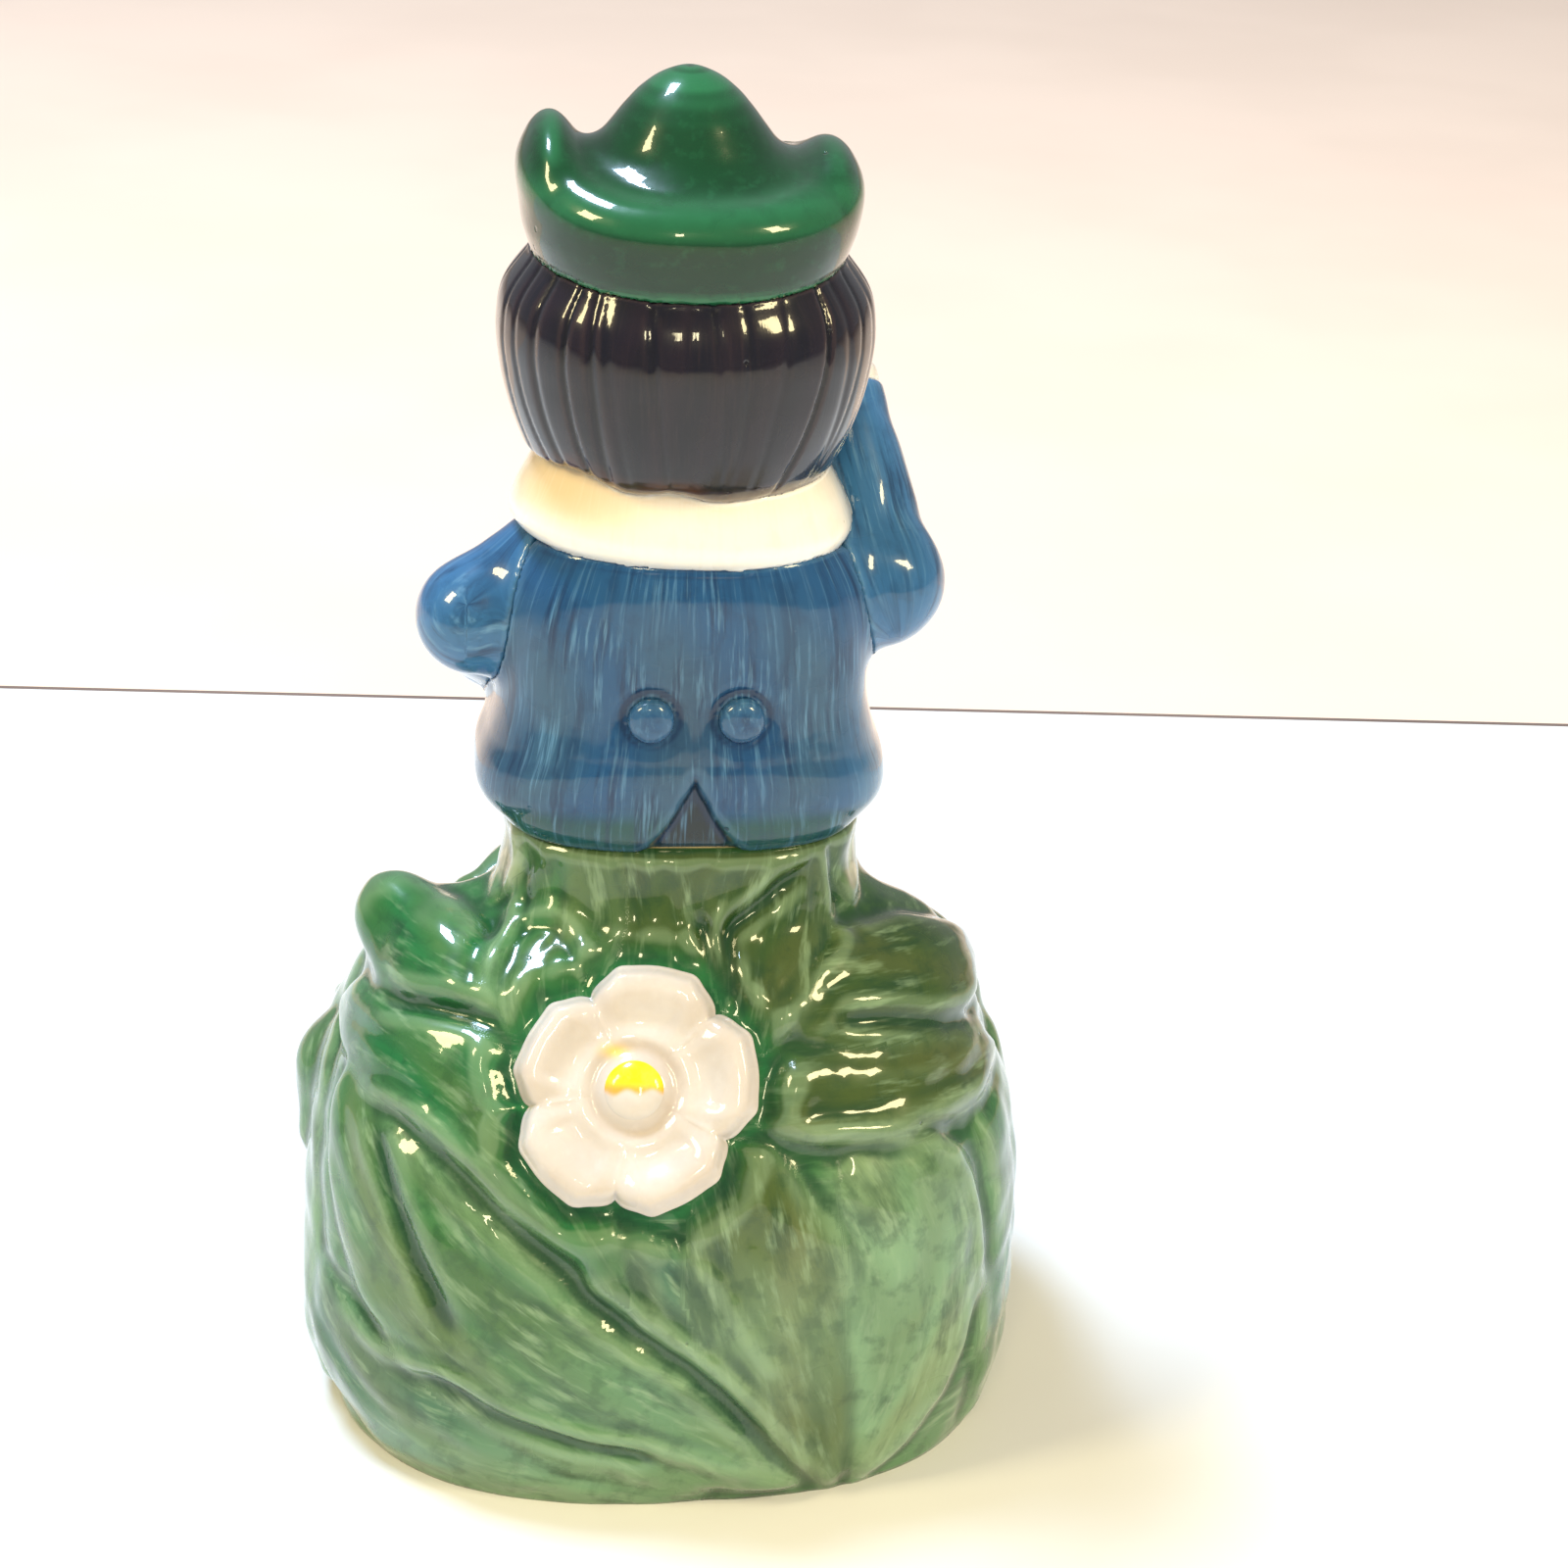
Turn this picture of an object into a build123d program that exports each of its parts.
"""Porcelain figurine bell: a boy in a blue jacket and green hat who stands out of a mound of leaves.

The mound is the hollow bell. Its clapper is a glazed bead on a wire, hung by an S-hook from a
porcelain bar across the neck. Units are millimetres. The origin is the centre of the rim's plane,
+Z is up, and the boy faces -Y, so his left side is +X.
"""

import os
from math import cos, radians, sin

from build123d import *

os.makedirs("parts", exist_ok=True)

# ---------------------------------------------------------------- driving dimensions
TOTAL_HEIGHT = 120.0
SKIRT_HALF_WIDTH = 32.0
SKIRT_HALF_DEPTH = 28.8
CORNER_SHARE = 0.70  # corner radius of a rounded section, as a share of its smaller half side

NECK_Z = 43.5  # ledge that the breeches stand on
WAIST_Z = 56.0  # top of the tall leaves, where the jacket's hem rests
FRONT_LEAF_TOP = 47.5  # the leaves stand lower in front of the legs
SHEATH_FRONT_Y = -5.0  # the tall leaves wrap round from the back as far as this
BREECHES_HALF = (13.6, 10.6)
BREECHES_WALL = 2.4
BREECHES_TOP = 58.5

BAR_Z = 49.5
BAR_RADIUS = 1.75
BAR_SEAT = 1.2  # how deep each end sits in the wall of the breeches

WIRE_RADIUS = 0.4
HOOK_CLEARANCE = 0.5
HOOK_UPPER_ARC = 300.0
HOOK_LOWER_RADIUS = 1.9
HOOK_LOWER_ARC = 305.0
EYE_RADIUS = 1.5
EYE_CLEARANCE = 0.15
BEAD_RADIUS = 6.5
BEAD_Z = 14.5
BEAD_BORE_RADIUS = 0.45
TAIL_LOOP_RADIUS = 0.9

VENT_TOP_Z = 64.5
VENT_HALF_WIDTH = 3.0
VENT_X = -0.9
VENT_FLOOR_Y = 11.6
NECK_BORE_RADIUS = 5.5

BUTTON_RADIUS = 2.15
BUTTON_PROUD_Y = 12.9  # how far back the back buttons' faces stand
FRONT_BUTTON_Y = -13.0
BUTTON_EDGE = 0.5
BACK_BUTTON_X = (2.9, -4.7)  # left and right of a back seam that was modelled off centre
BACK_BUTTON_Z = 67.8
FRONT_BUTTON_HEIGHTS = (61.5, 67.5, 73.5)

NECK_RADIUS = 6.6
NECK_BOTTOM_Z = 83.5
COLLAR_GAP_HALF_WIDTH = 1.6

SLEEVE_RADIUS = 4.4
CUFF_RADIUS = 4.0
CUFF_LENGTH = 1.8
HAND_RADIUS = 3.3
HAND_LENGTH = 6.0

# Centre line of each sleeve: shoulder, elbow, wrist.
LEFT_ARM = ((9.5, 0.0, 77.0), (17.6, 1.0, 73.0), (15.4, -9.5, 66.5))
RIGHT_ARM = ((-9.5, 0.0, 77.0), (-18.1, -0.8, 75.4), (-13.9, -10.2, 89.0))

HEAD_CENTRE_Z = 98.0
HEAD_RADIUS = 14.0
HEAD_HALF_HEIGHT = 12.4
HEAD_FORWARD = 0.8
HEAD_WALL = 3.0
FRINGE_Z = 101.5
FACE_HALF_WIDTH = 10.4
FACE_BACK_Y = -5.0

BRIM_SIDE_Z = 115.8
BRIM_BACK_Z = 111.0
BRIM_SADDLE_HALF = 12.0

FLOWER_CENTRE = (4.6, 22.0, 38.6)
FLOWER_NORMAL = (0.14, 0.81, 0.57)
PETALS = 5
PETAL_RADIUS = 4.5
PETAL_CIRCLE = 5.7
FLOWER_PROUD = 1.3
FLOWER_DEPTH = 6.0
FLOWER_CENTRE_RADIUS = 3.0
FLOWER_CENTRE_HEIGHT = 1.6

# Outer size of the leaf mound from the rim to the waist: height, shares of half width and depth.
SKIRT_SECTIONS = [
    (0.0, 0.950, 0.955),
    (5.0, 0.990, 0.985),
    (13.0, 1.0, 1.0),
    (25.0, 0.985, 0.965),
    (34.0, 0.905, 0.875),
    (40.0, 0.845, 0.760),
    (44.0, 0.770, 0.655),
    (46.5, 0.670, 0.565),
    (48.5, 0.530, 0.480),
    (51.0, 0.487, 0.440),
    (WAIST_Z, 0.480, 0.430),
]
# The bell's cavity closes to the bore of the breeches at the neck.
BORE_HALF = (BREECHES_HALF[0] - BREECHES_WALL, BREECHES_HALF[1] - BREECHES_WALL)
CAVITY_SECTIONS = [
    (0.0, 0.840, 0.842),
    (13.0, 0.884, 0.888),
    (25.0, 0.865, 0.850),
    (34.0, 0.765, 0.735),
    (40.0, 0.600, 0.550),
    (NECK_Z, BORE_HALF[0] / SKIRT_HALF_WIDTH, BORE_HALF[1] / SKIRT_HALF_DEPTH),
]
# Jacket from the hem to the neck, then its inside: height, half width, half depth.
JACKET_SECTIONS = [
    (WAIST_Z, 16.8, 12.7),
    (59.0, 17.7, 13.2),
    (66.0, 15.8, 12.0),
    (73.0, 15.6, 11.5),
    (79.0, 13.9, 10.7),
    (NECK_BOTTOM_Z, 10.0, 8.8),
]
JACKET_CAVITY_SECTIONS = [
    (BREECHES_TOP, 13.4, 10.2),
    (66.0, 13.0, 9.4),
    (73.0, 12.8, 8.9),
    (78.0, 10.6, 7.8),
    (81.0, 6.6, 6.2),
]
COLLAR_SECTIONS = [
    (81.0, 14.2, 11.2),
    (83.0, 13.9, 11.0),
    (87.0, 12.3, 10.2),
]
# Half profile of the hair and of the hat, as radius and height.
HAIR_PROFILE = [(11.9, 86.8), (14.6, 91.0), (15.7, 98.0), (13.8, 104.6), (8.5, 110.2), (0.0, 112.0)]
BRIM_PROFILE = [(12.6, 103.4), (13.9, 109.5), (12.6, BRIM_SIDE_Z - 0.6)]
BRIM_TOP = (11.6, BRIM_SIDE_Z)
BRIM_INNER = (10.0, 111.5)
CROWN_PROFILE = [(9.6, 110.5), (8.2, 114.4), (4.6, 118.4), (0.0, TOTAL_HEIGHT)]


def lofted(sections):
    """A loft of rounded rectangles given as (height, half width, half depth)."""
    with BuildPart() as form:
        for height, half_width, half_depth in sections:
            with BuildSketch(Plane.XY.offset(height)):
                RectangleRounded(2 * half_width, 2 * half_depth, CORNER_SHARE * min(half_width, half_depth))
        loft()
    return form.part


def skirt_sizes(shares):
    """Shares of the skirt's half width and half depth, turned into millimetres."""
    return [(height, w * SKIRT_HALF_WIDTH, d * SKIRT_HALF_DEPTH) for height, w, d in shares]


def dome(radius, half_height, centre_y):
    """The head's ball: half an ellipse turned about a vertical axis."""
    plane = Plane(origin=(0, centre_y, HEAD_CENTRE_Z), x_dir=(1, 0, 0), z_dir=(0, -1, 0))
    angles = [radians(degrees) for degrees in (-90, -45, 0, 45, 90)]
    with BuildPart() as form:
        with BuildSketch(plane):
            with BuildLine():
                outline = [(radius * cos(angle), half_height * sin(angle)) for angle in angles]
                Spline(outline, tangents=[(1, 0), (-1, 0)])
                Line(outline[-1], outline[0])
            make_face()
        revolve(axis=Axis((0, centre_y, HEAD_CENTRE_Z), (0, 0, 1)))
    return form.part


def export(part, name):
    """Label a finished piece and write it as one node."""
    part.label = name
    export_step(part, f"parts/{name}.step")


# ---------------------------------------------------------------- outer forms that others fit against
skirt_form = lofted(skirt_sizes(SKIRT_SECTIONS))
cavity_form = lofted(skirt_sizes(CAVITY_SECTIONS))
jacket_form = lofted(JACKET_SECTIONS)
jacket_cavity = lofted(JACKET_CAVITY_SECTIONS)
collar_form = lofted(COLLAR_SECTIONS)
head_form = dome(HEAD_RADIUS, HEAD_HALF_HEIGHT, -HEAD_FORWARD)
head_cavity = dome(HEAD_RADIUS - HEAD_WALL, HEAD_HALF_HEIGHT - HEAD_WALL, -HEAD_FORWARD)

with BuildPart() as breeches_form:
    with BuildSketch(Plane.XY.offset(NECK_Z)):
        RectangleRounded(2 * BREECHES_HALF[0], 2 * BREECHES_HALF[1], CORNER_SHARE * BREECHES_HALF[1])
    extrude(amount=BREECHES_TOP - NECK_Z)

with BuildPart() as hair_form:
    with BuildSketch(Plane.XZ):
        with BuildLine():
            Spline(HAIR_PROFILE, tangents=[(0.6, 1), (-1, 0)])
            Polyline(HAIR_PROFILE[-1], (0, HAIR_PROFILE[0][1]), HAIR_PROFILE[0])
        make_face()
    revolve(axis=Axis.Z)

# ---------------------------------------------------------------- leaf skirt, the bell itself
with BuildPart() as leaf_skirt:
    add(skirt_form)
    add(cavity_form, mode=Mode.SUBTRACT)
    add(breeches_form.part, mode=Mode.SUBTRACT)
    with BuildSketch(Plane.XY.offset(FRONT_LEAF_TOP)):
        with Locations((0, SHEATH_FRONT_Y)):
            Rectangle(4 * SKIRT_HALF_WIDTH, 4 * SKIRT_HALF_DEPTH, align=(Align.CENTER, Align.MAX))
    extrude(amount=WAIST_Z, mode=Mode.SUBTRACT)
export(leaf_skirt.part, "leaf_skirt")

# ---------------------------------------------------------------- applied flower on the back slope
flower_plane = Plane(origin=FLOWER_CENTRE, x_dir=(1, 0, 0), z_dir=FLOWER_NORMAL)

with BuildPart() as flower_petals:
    with BuildSketch(flower_plane.offset(FLOWER_PROUD - FLOWER_DEPTH)):
        Circle(PETAL_CIRCLE)
        with PolarLocations(PETAL_CIRCLE, PETALS, start_angle=90):
            Circle(PETAL_RADIUS)
    extrude(amount=FLOWER_DEPTH)
    add(skirt_form, mode=Mode.SUBTRACT)
export(flower_petals.part, "flower_petals")

with BuildPart() as flower_centre:
    with BuildSketch(flower_plane.offset(FLOWER_PROUD)):
        Circle(FLOWER_CENTRE_RADIUS)
    extrude(amount=FLOWER_CENTRE_HEIGHT)
    fillet(flower_centre.faces().sort_by(Axis((0, 0, 0), FLOWER_NORMAL))[-1].edges(), BUTTON_EDGE * 2)
export(flower_centre.part, "flower_centre")

# ---------------------------------------------------------------- clapper bar and the breeches that hold it
with BuildPart() as clapper_bar:
    with BuildSketch(Plane.YZ.offset(-BORE_HALF[0] - BAR_SEAT)):
        with Locations((0, BAR_Z)):
            Circle(BAR_RADIUS)
    extrude(amount=2 * (BORE_HALF[0] + BAR_SEAT))
export(clapper_bar.part, "clapper_bar")

with BuildPart() as breeches:
    add(breeches_form.part)
    with BuildSketch(Plane.XY.offset(NECK_Z)):
        RectangleRounded(2 * BORE_HALF[0], 2 * BORE_HALF[1], CORNER_SHARE * BORE_HALF[1])
    extrude(amount=BREECHES_TOP - NECK_Z, mode=Mode.SUBTRACT)
    add(clapper_bar.part, mode=Mode.SUBTRACT)
export(breeches.part, "breeches")

# ---------------------------------------------------------------- jacket with its notched tails
with BuildPart() as jacket:
    add(jacket_form)
    add(jacket_cavity, mode=Mode.SUBTRACT)
    add(breeches_form.part, mode=Mode.SUBTRACT)
    with BuildSketch(Plane.XY.offset(JACKET_CAVITY_SECTIONS[-1][0])):
        Circle(NECK_BORE_RADIUS)
    extrude(amount=NECK_BOTTOM_Z, mode=Mode.SUBTRACT)
    with BuildSketch(Plane.XZ.offset(-VENT_FLOOR_Y)):
        left_foot = (VENT_X - VENT_HALF_WIDTH, WAIST_Z)
        right_foot = (VENT_X + VENT_HALF_WIDTH, WAIST_Z)
        Polygon(left_foot, right_foot, (VENT_X, VENT_TOP_Z), align=None)
    extrude(amount=-VENT_FLOOR_Y, mode=Mode.SUBTRACT)
export(jacket.part, "jacket")

# ---------------------------------------------------------------- buttons
for side, button_x in zip(("left", "right"), BACK_BUTTON_X):
    with BuildPart() as back_button:
        with BuildSketch(Plane.XZ.offset(-BUTTON_PROUD_Y)):
            with Locations((button_x, BACK_BUTTON_Z)):
                Circle(BUTTON_RADIUS)
        extrude(amount=BUTTON_RADIUS)
        fillet(back_button.faces().sort_by(Axis.Y)[-1].edges(), BUTTON_EDGE)
        add(jacket_form, mode=Mode.SUBTRACT)
    export(back_button.part, f"back_button_{side}")

with BuildPart() as front_buttons:
    with BuildSketch(Plane.XZ.offset(-FRONT_BUTTON_Y)):
        for button_z in FRONT_BUTTON_HEIGHTS:
            with Locations((0, button_z)):
                Circle(BUTTON_RADIUS)
    extrude(amount=-2 * BUTTON_RADIUS)
    add(jacket_form, mode=Mode.SUBTRACT)
export(front_buttons.part, "front_buttons")

# ---------------------------------------------------------------- head, collar, hair and hat
with BuildPart() as neck_form:
    with BuildSketch(Plane.XY.offset(NECK_BOTTOM_Z)):
        Circle(NECK_RADIUS)
    extrude(amount=HEAD_CENTRE_Z - NECK_BOTTOM_Z)

with BuildPart() as head:
    add(head_form)
    add(neck_form.part)
    with BuildSketch(Plane.XY.offset(NECK_BOTTOM_Z)):
        Circle(NECK_RADIUS - HEAD_WALL)
    extrude(amount=HEAD_CENTRE_Z - NECK_BOTTOM_Z, mode=Mode.SUBTRACT)
    add(head_cavity, mode=Mode.SUBTRACT)
export(head.part, "head")

with BuildPart() as collar:
    add(collar_form)
    add(jacket_form, mode=Mode.SUBTRACT)
    add(neck_form.part, mode=Mode.SUBTRACT)
    add(head_form, mode=Mode.SUBTRACT)
    add(hair_form.part, mode=Mode.SUBTRACT)
    with BuildSketch(Plane.XY.offset(COLLAR_SECTIONS[0][0])):
        Rectangle(2 * COLLAR_GAP_HALF_WIDTH, SKIRT_HALF_DEPTH, align=(Align.CENTER, Align.MAX))
    extrude(amount=NECK_BOTTOM_Z, mode=Mode.SUBTRACT)
export(collar.part, "collar")

with BuildPart() as hair:
    add(hair_form.part)
    add(head_form, mode=Mode.SUBTRACT)
    add(neck_form.part, mode=Mode.SUBTRACT)
    with BuildSketch(Plane.XY.offset(FRINGE_Z)):
        with Locations((0, FACE_BACK_Y)):
            Rectangle(2 * FACE_HALF_WIDTH, SKIRT_HALF_DEPTH, align=(Align.CENTER, Align.MAX))
    extrude(amount=-HEAD_CENTRE_Z, mode=Mode.SUBTRACT)
export(hair.part, "hair")

with BuildPart() as hat:
    with BuildSketch(Plane.XZ):
        with BuildLine():
            Spline(BRIM_PROFILE)
            Line(BRIM_PROFILE[-1], BRIM_TOP)
            Line(BRIM_TOP, BRIM_INNER)
            Polyline(BRIM_INNER, (0, BRIM_INNER[1]), (0, BRIM_PROFILE[0][1]), BRIM_PROFILE[0])
        make_face()
    revolve(axis=Axis.Z)
    with BuildSketch(Plane.YZ.offset(-SKIRT_HALF_WIDTH)):
        for end in (-1, 1):
            with BuildLine():
                saddle = Spline(
                    (0, BRIM_SIDE_Z),
                    (end * BRIM_SADDLE_HALF / 2, (BRIM_SIDE_Z + BRIM_BACK_Z) / 2),
                    (end * 2 * BRIM_SADDLE_HALF, BRIM_BACK_Z),
                    tangents=[(end, 0), (end, 0)],
                )
                Polyline(saddle @ 1, (end * 2 * BRIM_SADDLE_HALF, TOTAL_HEIGHT), (0, TOTAL_HEIGHT), saddle @ 0)
            make_face()
    extrude(amount=2 * SKIRT_HALF_WIDTH, mode=Mode.SUBTRACT)
    with BuildSketch(Plane.XZ):
        with BuildLine():
            Spline(CROWN_PROFILE, tangents=[(-0.2, 1), (-1, 0)])
            Polyline(CROWN_PROFILE[-1], (0, BRIM_PROFILE[0][1]), (CROWN_PROFILE[0][0], BRIM_PROFILE[0][1]))
            Line((CROWN_PROFILE[0][0], BRIM_PROFILE[0][1]), CROWN_PROFILE[0])
        make_face()
    revolve(axis=Axis.Z)
    add(hair_form.part, mode=Mode.SUBTRACT)
    add(head_form, mode=Mode.SUBTRACT)
export(hat.part, "hat")

# ---------------------------------------------------------------- arms
for side, arm in (("left", LEFT_ARM), ("right", RIGHT_ARM)):
    shoulder, elbow, wrist = [Vector(*point) for point in arm]
    upper_arm = elbow - shoulder
    forearm = wrist - elbow
    cuff_plane = Plane(origin=wrist, z_dir=forearm)
    hand_plane = cuff_plane.offset(CUFF_LENGTH)

    with BuildPart() as sleeve:
        with BuildSketch(Plane(origin=shoulder, z_dir=upper_arm)):
            Circle(SLEEVE_RADIUS)
        extrude(amount=upper_arm.length)
        with BuildSketch(Plane(origin=elbow, z_dir=forearm)):
            Circle(SLEEVE_RADIUS)
        extrude(amount=forearm.length)
        with Locations(elbow):
            Sphere(SLEEVE_RADIUS)
        add(jacket_form, mode=Mode.SUBTRACT)
        add(collar_form, mode=Mode.SUBTRACT)
        add(hair_form.part, mode=Mode.SUBTRACT)
    export(sleeve.part, f"{side}_sleeve")

    with BuildPart() as cuff:
        with BuildSketch(cuff_plane):
            Circle(CUFF_RADIUS)
        extrude(amount=CUFF_LENGTH)
        add(jacket_form, mode=Mode.SUBTRACT)
        add(hair_form.part, mode=Mode.SUBTRACT)
    export(cuff.part, f"{side}_cuff")

    with BuildPart() as hand:
        with BuildSketch(hand_plane):
            Circle(HAND_RADIUS)
        extrude(amount=HAND_LENGTH)
        fillet(hand.faces().sort_by(Axis(wrist, forearm))[-1].edges(), HAND_RADIUS * 0.9)
        add(jacket_form, mode=Mode.SUBTRACT)
        add(hair_form.part, mode=Mode.SUBTRACT)
    export(hand.part, f"{side}_hand")

# ---------------------------------------------------------------- clapper
hook_upper_radius = BAR_RADIUS + HOOK_CLEARANCE + WIRE_RADIUS
hook_waist_z = BAR_Z - hook_upper_radius
hook_lower_z = hook_waist_z - HOOK_LOWER_RADIUS
side_pivot_z = hook_lower_z - HOOK_LOWER_RADIUS
eye_z = side_pivot_z + 2 * WIRE_RADIUS + EYE_CLEARANCE - EYE_RADIUS
tail_z = BEAD_Z - BEAD_RADIUS - WIRE_RADIUS - TAIL_LOOP_RADIUS

with BuildPart() as s_hook:
    with BuildLine(Plane.YZ) as hook_line:
        CenterArc((0, BAR_Z), hook_upper_radius, 270 - HOOK_UPPER_ARC, HOOK_UPPER_ARC)
        CenterArc((0, hook_lower_z), HOOK_LOWER_RADIUS, 90, -HOOK_LOWER_ARC)
    with BuildSketch(Plane(origin=hook_line.wire() @ 0, z_dir=hook_line.wire() % 0)):
        Circle(WIRE_RADIUS)
    sweep()
export(s_hook.part, "s_hook")

with BuildPart() as clapper_wire:
    with BuildSketch(Plane.XY.offset(tail_z + TAIL_LOOP_RADIUS)):
        Circle(WIRE_RADIUS)
    extrude(amount=eye_z - EYE_RADIUS - tail_z - TAIL_LOOP_RADIUS)
    with Locations(Location((0, 0, eye_z), (90, 0, 0))):
        Torus(EYE_RADIUS, WIRE_RADIUS)
    with Locations(Location((0, 0, tail_z), (90, 0, 0))):
        Torus(TAIL_LOOP_RADIUS, WIRE_RADIUS)
export(clapper_wire.part, "clapper_wire")

with BuildPart() as clapper_bead:
    with Locations((0, 0, BEAD_Z)):
        Sphere(BEAD_RADIUS)
    with BuildSketch(Plane.XY):
        Circle(BEAD_BORE_RADIUS)
    extrude(amount=BEAD_Z + BEAD_RADIUS, mode=Mode.SUBTRACT)
export(clapper_bead.part, "clapper_bead")

print(f"fore and aft pivot z {BAR_Z:.2f}, side pivot z {side_pivot_z:.2f}")
print(f"clapper clears the table by {tail_z - TAIL_LOOP_RADIUS - WIRE_RADIUS:.2f}")
